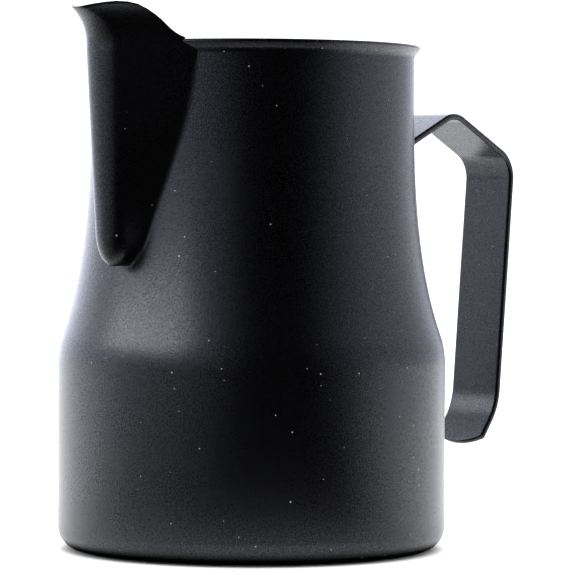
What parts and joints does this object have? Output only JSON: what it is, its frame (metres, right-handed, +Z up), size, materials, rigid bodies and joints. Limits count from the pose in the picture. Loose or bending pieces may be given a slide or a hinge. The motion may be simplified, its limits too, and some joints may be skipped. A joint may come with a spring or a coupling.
{
  "type": "milk frothing pitcher",
  "caption": "Small round jug with a sloping shoulder, straight neck, flared rim, raised pouring spout and an open flat strap handle joined at its upper end.",
  "frame": {"origin": "centre of the base's flat underside, on the axis of the jug", "axes": "+Z up along the jug's axis, +X from the axis towards the handle, the spout along -X, and the XZ plane is the plane of symmetry"},
  "size_m": [0.138, 0.09, 0.1248],
  "materials": {
    "wall_coating": "satin non-stick coating with a fine speckled grain on drawn stainless sheet",
    "strap_coating": "smooth satin non-stick coating on flat stainless strip",
    "weld_coating": "dressed weld under the same satin coating"
  },
  "bodies": {
    "root": {"jug_body": "wall_coating", "spout": "wall_coating", "spout_weld": "weld_coating", "handle_strap": "strap_coating", "handle_weld": "weld_coating"}
  },
  "joints": []
}
